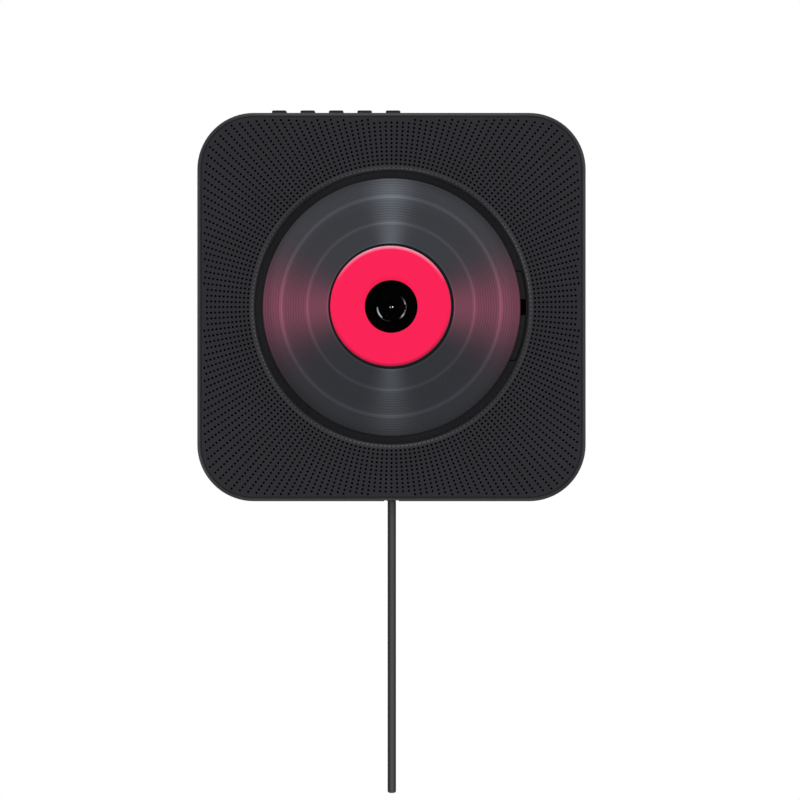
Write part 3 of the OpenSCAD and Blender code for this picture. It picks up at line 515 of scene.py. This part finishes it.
spring = new_piece("wound_spring", *coil(), "player", bright_steel)
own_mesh(spring)
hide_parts("pull_spring")
print("spring, triangles:", triangles(spring))

# %% [markdown]
# ## The perforated front
#
# The panel is the part that makes this player: 200 straight lines of holes leave the well like rays, all
# rings equally far apart, and stop at a rounded square. A bump map would look flat from the side, so the
# holes are real. Each hole has a cell between two rings and two lines. The cell's outline has ten points
# and so has the hole, which leaves ten neat quads between them, and neighbours share their points.

# %% Where the holes are
front = case_depth * 1000
case_half = 90.0
case_corner = 26.2
panel_inset = 1.68
field_inset = 3.35
lip_outer = 65.62
lines = 200
first_ring = 66.43
ring_step = 1.894
line_angle = np.radians(np.arange(lines) * 360 / lines)
half_line = math.pi / lines


def outline_radius(angle, inset):
    """Distance from the middle to the case's rounded square drawn in by inset, along angle in radians."""
    half, corner = case_half - inset, case_corner - inset
    c, s = np.abs(np.cos(angle)), np.abs(np.sin(angle))
    flat = half / np.maximum(c, s)
    q = half - corner
    along = q * (c + s)
    bend = along + np.sqrt(np.maximum(along ** 2 - 2 * q ** 2 + corner ** 2, 0))
    return np.where(np.minimum(c, s) * flat <= q, flat, bend)


# the hair added here keeps a ring that just fits from being lost to rounding
hair = 1e-7
reach = outline_radius(line_angle, field_inset)
hole_counts = np.floor((reach - first_ring) / ring_step + 1 + hair).astype(int)
print("holes in the panel:", hole_counts.sum(), "per line:", hole_counts.min(), "to", hole_counts.max())

# %% [markdown]
# The borders of the cells come first. They are found for a whole line at once, and each point keeps the
# number it got, so that the faces can be written as rows of numbers.

# %% Borders of the cells
hole_radius = 0.55
hole_depth = 1.7
hole_corners = 10
panel_thick = 2.0
shoulder_r = 0.45
groove_width = 0.5
groove_depth = 0.42
face_clear = 0.1
face_step = 0.02


class Points:
    """Rows of points laid one after another. Putting some gives back their numbers."""

    def __init__(self):
        self.rows = []
        self.count = 0

    def put(self, rows):
        rows = np.asarray(rows, float).reshape(-1, 3)
        self.rows.append(rows)
        self.count += len(rows)
        return np.arange(self.count - len(rows), self.count)


def round_about(radius, angle, height):
    """Points at a distance and an angle from the middle, at one height."""
    return np.stack([radius * np.cos(angle), radius * np.sin(angle), height + 0 * (radius + angle)], -1)


def ring_borders(count):
    """Radii of the borders of count rings: the lip, then halfway from ring to ring."""
    k = np.arange(count + 1)
    return np.where(k == 0, lip_outer, first_ring + (k - 0.5) * ring_step)


def keep_inside(radii, angle):
    """Radii held inside the flat face's outline in that direction, and still in order."""
    limit = outline_radius(angle, panel_inset + groove_width + shoulder_r) - face_clear
    return np.minimum(radii, limit - face_step * np.arange(len(radii))[::-1])


def side_borders(points):
    """Numbers of the points between each line and the one before it: on each ring border and midway."""
    numbers = []
    for angle, count in zip(line_angle - half_line, np.maximum(hole_counts, np.roll(hole_counts, 1))):
        radii = np.interp(np.arange(2 * count + 1) / 2, np.arange(count + 1), ring_borders(count))
        numbers.append(points.put(round_about(keep_inside(radii, angle), angle, front)))
    return numbers


def cross_borders(points):
    """Numbers of the pairs of points between the rings of each line, a third of the way out to its sides."""
    numbers = []
    for middle, count in zip(line_angle, hole_counts):
        pair = [round_about(keep_inside(ring_borders(count), angle), angle, front)
                for angle in (middle - half_line / 3, middle + half_line / 3)]
        numbers.append(points.put(np.stack(pair, 1)).reshape(-1, 2))
    return numbers


# %% [markdown]
# Now each line gets its holes: ten quads round every mouth, ten down its wall and a floor, with wall and
# floor in the near black of painted shade. Outside the last hole one wide cell reaches the edge, where the
# face rounds over into a shallow groove.

# %% Holes, margin and edge
def between(a, b):
    """Quads between closed rings of point numbers, one ring in each row of a and its match in b."""
    return np.stack([a, np.roll(a, -1, -1), np.roll(b, -1, -1), b], -1).reshape(-1, 4)


def drilled_cells(points, sides, crosses):
    """For each line: ten quads from each cell's outline to its hole, ten down the hole, and its floor."""
    turn = np.radians(-126 + 36 * np.arange(hole_corners))
    cells, walls, floors = [], [], []
    for j, count in enumerate(hole_counts):
        left, right, cross = sides[(j + 1) % lines], sides[j], crosses[j]
        k = np.arange(count)
        outline = np.stack([right[2 * k], right[2 * k + 1], right[2 * k + 2],
                            cross[k + 1, 0], cross[k + 1, 1],
                            left[2 * k + 2], left[2 * k + 1], left[2 * k],
                            cross[k, 1], cross[k, 0]], 1)
        out = first_ring + k[:, None] * ring_step + hole_radius * np.cos(turn)
        aside = hole_radius * np.sin(turn) + 0 * out
        c, s = math.cos(line_angle[j]), math.sin(line_angle[j])
        rim = [out * c - aside * s, out * s + aside * c]
        mouth = points.put(np.stack(rim + [0 * out + front], -1)).reshape(-1, hole_corners)
        foot = points.put(np.stack(rim + [0 * out + front - hole_depth], -1)).reshape(-1, hole_corners)
        cells.append(between(outline, mouth))
        walls.append(between(mouth, foot))
        floors.append(foot)
    return cells, np.concatenate(walls), np.concatenate(floors)


def edge_rings(points):
    """Rings of three points a line. They go over the rounded shoulder, down into the groove and up its outer
    slope to the case's rim, then down the outer wall to the back and in to the well."""
    around = (line_angle[:, None] + half_line * np.array([-1, -1 / 3, 1 / 3])).ravel()
    bend = np.radians([0, 30, 60, 90])
    shares = np.array([0.7, 0.35, 0, 0])
    insets = panel_inset + np.append(groove_width + shoulder_r * (1 - np.sin(bend)), shares * groove_width)
    drops = np.append(groove_depth * np.append(1 - np.cos(bend), [1, 0.65, 0.3]), panel_thick)
    rings = [points.put(round_about(outline_radius(around, inset), around, front - drop))
             for inset, drop in zip(insets, drops)]
    return rings + [points.put(round_about(lip_outer, around, front - panel_thick))]


def margin_cells(sides, crosses, edge):
    """One wide cell outside the last hole of each line, out to the edge of the flat face."""
    cells = []
    for j, count in enumerate(hole_counts):
        left, right = sides[(j + 1) % lines][2 * count:], sides[j][2 * count:]
        outside = edge[(3 * j + np.arange(4)) % len(edge)]
        cells.append(np.concatenate([right, outside, left[::-1], crosses[j][count, ::-1]])[None, :])
    return cells


def perforated_panel():
    """The face with its holes, the margin, the edge, the outer wall, the back and the wall to the well."""
    points = Points()
    sides = side_borders(points)
    crosses = cross_borders(points)
    cells, walls, floors = drilled_cells(points, sides, crosses)
    rings = edge_rings(points)
    well_side = np.concatenate([[side[0], *cross[0]] for side, cross in zip(sides, crosses)])
    for a, b in zip(rings, rings[1:] + [well_side]):
        cells.append(np.stack([a, b, np.roll(b, -1), np.roll(a, -1)], -1))
    faces = [np.concatenate(cells)] + margin_cells(sides, crosses, rings[0]) + [walls, floors]
    return np.concatenate(points.rows), faces


# %% The panel
panel = new_piece("perforated_panel", *perforated_panel(), "player", charcoal, smooth=35, merge=False)
panel.data.materials.append(shade_and_mark_black)
# the walls and floors of the holes take the near black painted shade
shaded_hole_faces = np.zeros(len(panel.data.polygons), np.int32)
shaded_hole_faces[-(hole_corners + 1) * int(hole_counts.sum()):] = 1
panel.data.polygons.foreach_set("material_index", shaded_hole_faces)
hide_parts("front_grille")
print("triangles in the panel:", triangles(panel))

# %% [markdown]
# ## The rolled lip and the dots on it
#
# The well's lip rolls from the flat front into the wall in a quarter circle. It catches the light all the
# way round, and a solid's few facets would show there, so it is turned anew in many steps. A ring of very
# small marks lies on it, in line with the holes.

# %% Lip
well_r = 63.4
well_floor = 30.35
wall_outer = 65.4
lip_r = 2.2
lip_foot = front - panel_thick
lip_profile = ([[well_r, well_floor]] + arc((well_r + lip_r, front - lip_r), lip_r, 180, 90, 18)
               + [[lip_outer, lip_foot], [wall_outer, lip_foot - 0.6], [wall_outer, well_floor]])
lip = new_piece("rolled_lip", *lathe(lip_profile, 480), "player", lip_plastic, smooth=50)
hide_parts("well_ring")

# %% Marks on the lip
mark_r = 64.5
mark_size = 0.3
mark_lift = 0.012
mark_corners = 8
lean = math.acos((well_r + lip_r - mark_r) / lip_r)


def lip_marks():
    """Small flat discs that lie on the lip, a hair above it and tilted as it is."""
    turn = np.radians(np.arange(mark_corners) * 360 / mark_corners)
    along, aside = mark_size * np.cos(turn), mark_size * np.sin(turn)
    out = mark_r + along * math.sin(lean) - mark_lift * math.cos(lean)
    height = front - lip_r + (lip_r + mark_lift) * math.sin(lean) + along * math.cos(lean)
    c, s = np.cos(line_angle)[:, None], np.sin(line_angle)[:, None]
    rims = np.stack([out * c - aside * s, out * s + aside * c, height + 0 * c], -1)
    return rims.reshape(-1, 3), np.arange(lines * mark_corners).reshape(lines, mark_corners)


marks = new_piece("lip_marks", *lip_marks(), "player", shade_and_mark_black, merge=False)
print("lip and marks, triangles:", triangles(lip) + triangles(marks))

# %% [markdown]
# ## Hub and turntable
#
# The middle is near black and polished, so the lamps show on it only where they glance off a rounded edge.
# The solids have their true shape, so they keep it and get a deep gloss with the finest of scratches. The
# disc's own clear middle looks black as well, because the hub's foot lies behind it. Three soft arcs of
# mirrored light are painted into the colour of the hub's edge, written as angle, half width and level.

# %% Polished black
hub_edge_r = 6.55
hub_edge_width = 0.42
painted_hub_arcs = ((-152.0, 25.0, 0.5), (6.0, 20.0, 0.34), (-36.0, 10.0, 0.45))


def polished_black(name, base, rough, with_painted_arcs=False):
    """Deep black with a fine haze. With arcs, soft arcs of painted reflection lie in the colour of the hub's
    edge.
    """
    recipe = Recipe(name, rough, gloss=0.006)
    haze = recipe.noise(2.5, 3)
    colour = recipe.mix(haze, tuple(c * 0.7 for c in base), base)
    if with_painted_arcs:
        across, up, radius = recipe.round_middle()
        edge = ((1.0 - ((radius - hub_edge_r) / hub_edge_width).abs()).clamp() * 1.8).clamp()
        angle = recipe.degrees(across, up)
        # painted reflections: soft pale arcs on the hub's edge
        for centre, width, level in painted_hub_arcs:
            light = edge * ((angle - centre) / width).bell(1.0)
            colour = recipe.mix(light, colour, (level, level, level * 1.15))
    recipe.set("Base Color", colour)
    recipe.set("Roughness", (haze - 0.5) * 0.08 + rough)
    recipe.bump(recipe.noise(0.3, 2), 0.001)
    return recipe.material


foot_gloss = polished_black("foot_gloss", (0.0006, 0.0004, 0.0006), 0.2)
dress("spindle_hub", polished_black("hub_gloss", (0.0006, 0.0004, 0.0006), 0.2, with_painted_arcs=True))
dress("turntable", foot_gloss)
dress("hub_claws", polished_black("claw_gloss", (0.0016, 0.0014, 0.0016), 0.25))
print("soft arcs on the hub's edge:", len(painted_hub_arcs))

# %% [markdown]
# ## The disc
#
# The disc looks like a small record. Its face is covered with very fine grooves, with a few wide, brighter
# bands. Its sheen is painted into the colour as a record's answers light: painted reflections make sharp
# grey streaks up and down and a wide mauve one to each side, the top half is painted lighter than the
# bottom, and painted light brightens the outer part, most at the top. Modelled grooves would be far too
# fine, so the colour is worked out from the angle and the distance to the middle, and a bump gives the
# grooves their tilt.

# %% Angle and distance on the disc
disc_middle = (-0.25, 0.3)

record = Recipe("grooved_disc", 0.32, gloss=0.12)
across, up, radius = record.round_middle(*disc_middle)
angle = record.degrees(across, up)


def painted_streak(centre, width):
    """Bell about an angle: e to the minus half the square of the distance over the width, in degrees."""
    return (((angle - centre + 540.0).sum("MODULO", 360.0) - 180.0) / width).bell(0.5)


def band(middle, width):
    """Soft band of distance: 1 on its middle line and 0 half a width away."""
    return (1.0 - ((radius - middle) / (width / 2)).abs()).clamp()


# %% Painted sheen and grooves of the disc
groove_step = 1.175
glow_bands = ((45.0, 16.0, -0.07), (38.95, 2.2, 0.6), (51.15, 2.6, 0.75), (29.7, 1.0, 0.38))
dark_ring_r = 28.6
dark_ring_width = 1.32

inner = (1.0 - (radius - 36.0) / 22.0).clamp()
# painted shade and light: the bottom half darker, the top half lighter
sheen_and_grooves = record.mix((up / 40.0 + 0.5).clamp(), shown(44, 45, 50), shown(55, 56, 61))
# painted reflections: grey streaks up and down, mauve ones to each side
sheen_and_grooves = record.mix(painted_streak(90, 6.7), sheen_and_grooves, shown(88, 92, 99))
sheen_and_grooves = record.mix(painted_streak(270, 6.7) * (inner * 0.6 + 0.4), sheen_and_grooves, shown(70, 73, 78))
sheen_and_grooves = record.mix(painted_streak(0, 13.7) + painted_streak(180, 13.5), sheen_and_grooves, shown(117, 66, 83))

outward = ((radius - 33.0) / 9.0).clamp()
# painted light on the outer part of the disc, strongest at the top
painted_rim_light = ((radius - 46.0) / 10.0).clamp() * ((up / 50.0).clamp() * 0.2 + 0.05)
uneven = record.add("ShaderNodeTexNoise", {"noise_dimensions": "1D"},
                    {"W": radius * 1.3, "Detail": 3.0}) - 0.5
groove = (radius * (2 * math.pi / groove_step)).sine() * (uneven + 1.0)
grooves_and_painted_light = groove * (outward * 0.15 + 0.01) + painted_rim_light + 1.0
for middle, width, level in glow_bands:
    grooves_and_painted_light = grooves_and_painted_light + band(middle, width) * level
sheen_and_grooves = record.add("ShaderNodeVectorMath", {"operation": "SCALE"}, {0: sheen_and_grooves, "Scale": grooves_and_painted_light})

aside, above = across - 0.09, up - 0.11
ring_radius = (aside * aside + above * above) ** 0.5
dark_ring = (ring_radius - dark_ring_r).abs().below(dark_ring_width / 2)
sheen_and_grooves = record.mix(dark_ring, sheen_and_grooves, (0.0006, 0.0012, 0.0018))
record.set("Base Color", sheen_and_grooves)
record.set("Roughness", uneven * 0.1 + 0.32)
record.bump(groove * outward + 0.5, 0.008)
print("nodes in the disc's finish:", len(record.tree.nodes))

# %% [markdown]
# The disc itself is a thin turned plate with softly rounded edges, and the part inside the label is as
# black as the hub's foot behind it.

# %% Disc
disc_r = 60.0
disc_face = 34.5
disc_back = 33.3
disc_hole_r = 7.6
clear_r = 12.5
disc_round = 0.3
hole_round = 0.1
rim_r = disc_r - disc_round

# two points split the wide flat face, which keeps its quads short
face_splits = (28.5, 45.0)
disc_profile = (arc((disc_hole_r, disc_face - hole_round), hole_round, 180, 90, 4)
                + [[r, disc_face] for r in (clear_r, *face_splits)]
                + arc((rim_r, disc_face - disc_round), disc_round, 90, 0, 8)
                + arc((rim_r, disc_back + disc_round), disc_round, 0, -90, 8) + [[disc_hole_r, disc_back]])
disc = new_piece("grooved_disc", *lathe(disc_profile, 360), "disc", record.material, smooth=50)
disc.data.materials.append(foot_gloss)
centres = np.zeros(3 * len(disc.data.polygons))
disc.data.polygons.foreach_get("center", centres)
reach_out = np.hypot(*centres.reshape(-1, 3)[:, [0, 2]].T) * 1000
disc.data.polygons.foreach_set("material_index", (reach_out < clear_r).astype(np.int32))
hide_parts("disc")
print("triangles in the disc:", triangles(disc))

# %% [markdown]
# ## The label
#
# The label is a second plate on the disc. Its face is satin pink, a little deeper near the top of its hole,
# and its domed rim has a painted highlight at the top and painted shade below. Neither its hole nor its rim
# lies quite in the disc's middle, so both have their own middle, and what is between them shifts evenly
# from one to the other.

# %% Pink of the label
label_in, label_flat, label_out = 12.3, 26.4, 28.0
hole_middle, rim_middle = np.array([-0.14, 0.3]), np.array([-0.46, 0.5])

pink = Recipe("pink_label", 0.45, gloss=0.12)
across, up, radius = pink.round_middle(*rim_middle)
height = up / radius
edge = ((radius - label_flat) / 1.5).clamp()
face = pink.mix(((14.5 - radius) / 2.0).clamp() * height.clamp(), (1.0, 0.0135, 0.094), (0.93, 0.009, 0.072))
# painted highlight on the top of the domed rim
face = pink.mix(edge * (height * 1.7 - 0.7).clamp(), face, (0.92, 0.42, 0.56))
# painted shade on the bottom of the domed rim
face = pink.mix(edge * (height * -1.5 - 0.1).clamp(), face, (0.42, 0.005, 0.040))
face = pink.mix(pink.noise(9, 2) * 0.06, face, (0.75, 0.01, 0.09))
pink.set("Base Color", face)
pink.set("Roughness", pink.noise(0.8, 2) * 0.12 + 0.4)
pink.bump(pink.noise(0.5, 2), 0.004)
print("nodes in the label's finish:", len(pink.tree.nodes))

# %% Label
label_top = disc_face + 0.2
label_foot = disc_face - 0.02
dome_width = label_out - label_flat
dome_height = 0.18
dome_turn = np.linspace(0.2, math.pi / 2, 9)
dome = np.stack([label_flat + dome_width * np.sin(dome_turn),
                 disc_face + 0.02 + dome_height * np.cos(dome_turn)], -1).tolist()

label_profile = ([[label_in, label_foot], [label_in, label_top - 0.06]]
                 + arc((label_in + 0.1, label_top - 0.06), 0.06, 180, 90, 4)
                 + [[20.0, label_top], [label_flat, label_top]] + dome + [[label_out, label_foot]])
label_points, label_faces = lathe(label_profile)
distance = np.hypot(label_points[:, 0], label_points[:, 1])[:, None]
toward_rim = (distance - label_in) / (label_out - label_in)
label_points[:, :2] += (1 - toward_rim) * hole_middle + toward_rim * rim_middle
label = new_piece("pink_label", label_points, label_faces, "disc", pink.material, smooth=60)
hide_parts("disc_label")
print("triangles in the label:", triangles(label))

# %% [markdown]
# ## Relief on the keys
#
# Seen from above, each key carries a small raised sign, so that a finger finds it without looking: dots, a
# pointer, a square, and double pointers back and forward. Each is a flat shape carried up a little, with
# its top drawn in by a seventh, so that the edges catch light.

# %% Raised signs
key_top = 91.9
key_depth = 28.0
key_x = [-52.45 + 13.3 * k for k in range(5)]
pointer = np.array([[-1.2, -1.4], [1.3, 0.0], [-1.2, 1.4]])
square = np.array([[-1.2, -1.2], [1.2, -1.2], [1.2, 1.2], [-1.2, 1.2]])
dot_turn = np.linspace(0, 2 * math.pi, 16, endpoint=False)
dot = 0.42 * np.stack([np.cos(dot_turn), np.sin(dot_turn)], -1)
dot_off = 0.9
pair_off = [0.85, 0]
forward, back = pointer * [0.6, 0.8], pointer * [-0.6, 0.8]
signs = [[dot + [x, y] for x in (-dot_off, dot_off) for y in (-dot_off, dot_off)], [pointer], [square],
         [back - pair_off, back + pair_off], [forward - pair_off, forward + pair_off]]


def raised(outline, x):
    """Three rings of the outline: sunk foot, edge just under the top, and the top drawn in by a seventh."""
    middle = outline.mean(0)
    rings = [(outline, -0.05), (outline, 0.1), (middle + (outline - middle) * 0.86, 0.18)]
    points = [np.stack([x + ring[:, 0], 0 * ring[:, 0] + key_top + rise, key_depth - ring[:, 1]], -1)
              for ring, rise in rings]
    n = len(outline)
    return np.concatenate(points), [grid_faces(3, n, False, True), 2 * n + np.arange(n)[None, :],
                                    np.arange(n)[None, ::-1]]


for number, (shapes, x) in enumerate(zip(signs, key_x), 1):
    points, faces = Points(), []
    for outline in shapes:
        corners, sides = raised(outline, x)
        start = points.put(corners)[0]
        faces += [side + start for side in sides]
    sign = new_piece("key_%d_sign" % number, np.concatenate(points.rows), faces, "key_%d" % number,
                     key_plastic, smooth=30)
    print("sign", number, "has triangles:", triangles(sign))

# %% [markdown]
# ## Floor, light and surroundings
#
# The light is soft and plain. Four large lamps stand round the front, well off the line from which the
# camera would see them mirrored, and the strongest is above. The surroundings are white to the eye and in
# reflections, and weaker as a light.

# %% Floor
floor_z = -1.3
floor_reach = 1.5
floor_back = 0.8
floor_mesh = bpy.data.meshes.new("pale_floor")
floor_corners = [(-floor_reach, -floor_reach, floor_z), (floor_reach, -floor_reach, floor_z),
                 (floor_reach, floor_back, floor_z), (-floor_reach, floor_back, floor_z)]
floor_mesh.from_pydata(floor_corners, [], [(0, 1, 2, 3)])
pale = Recipe("pale_floor", 0.9, gloss=0.2)
pale.set("Base Color", pale.mix(pale.noise(60, 2), (0.80, 0.80, 0.79), (0.84, 0.84, 0.83)))
floor_mesh.materials.append(pale.material)
floor = bpy.data.objects.new("pale_floor", floor_mesh)
bpy.context.scene.collection.objects.link(floor)
print("height of the floor in metres:", floor_z)

# %% [markdown]
# Each lamp is a long soft box. Its power is written as a share of the level at which a colour renders about
# as it is written, so that a lamp can move further off without making the object darker.

# %% Lamps
lamp_lean = 60
lamp_distance = 1.1
lamps = (("lamp_above", 90, 0.21, 0.4, 0.7), ("lamp_below", 270, 0.18, 0.4, 0.7),
         ("lamp_left", 200, 0.185, 0.15, 0.8), ("lamp_right", 5, 0.155, 0.15, 0.8))


def lamp(name, around, share, width, length):
    """Long lamp that faces the middle of the front, lamp_lean degrees off its normal. Around is its direction
    on the wall, in degrees from the right, share the part of the plain light level that it gives. Its
    length lies across its direction."""
    a, b = math.radians(around), math.radians(lamp_lean)
    data = bpy.data.lights.new(name, "AREA")
    data.shape = "RECTANGLE"
    sideways = abs(math.cos(a)) > 0.7
    data.size, data.size_y = (width, length) if sideways else (length, width)
    data.energy = share * math.pi ** 2 * lamp_distance ** 2 / math.cos(b)
    place = np.array([math.sin(b) * math.cos(a), -math.cos(b), math.sin(b) * math.sin(a)]) * lamp_distance
    light = bpy.data.objects.new(name, data)
    light.location = place
    light.rotation_euler = (-light.location).to_track_quat("-Z", "Y").to_euler()
    bpy.context.scene.collection.objects.link(light)


for settings in lamps:
    lamp(*settings)
print("part of the plain light level that the lamps give:", round(sum(row[2] for row in lamps), 3))

# %% [markdown]
# The world is white where the eye or a reflection meets it, and three tenths as strong as a light. The kind
# of ray decides which of the two it gets.

# %% Surroundings
light_strength = 0.3
seen_strength = 1.0

world = bpy.data.worlds.new("white_surroundings")
bpy.context.scene.world = world
world.use_nodes = True
tree = world.node_tree
rays = tree.nodes.new("ShaderNodeLightPath").outputs
seen = rays["Is Camera Ray"]
for kind in ("Is Glossy Ray", "Is Transmission Ray"):
    either = tree.nodes.new("ShaderNodeMath")
    either.operation = "MAXIMUM"
    tree.links.new(seen, either.inputs[0])
    tree.links.new(rays[kind], either.inputs[1])
    seen = either.outputs[0]
strength = tree.nodes.new("ShaderNodeMapRange")
strength.inputs["To Min"].default_value = light_strength
strength.inputs["To Max"].default_value = seen_strength
tree.links.new(seen, strength.inputs["Value"])
background = tree.nodes["Background"]
background.inputs["Color"].default_value = (1, 1, 1, 1)
tree.links.new(strength.outputs["Result"], background.inputs["Strength"])
bpy.context.scene.view_settings.view_transform = "Standard"
print("surroundings:", light_strength, "as a light and", seen_strength, "to the eye")
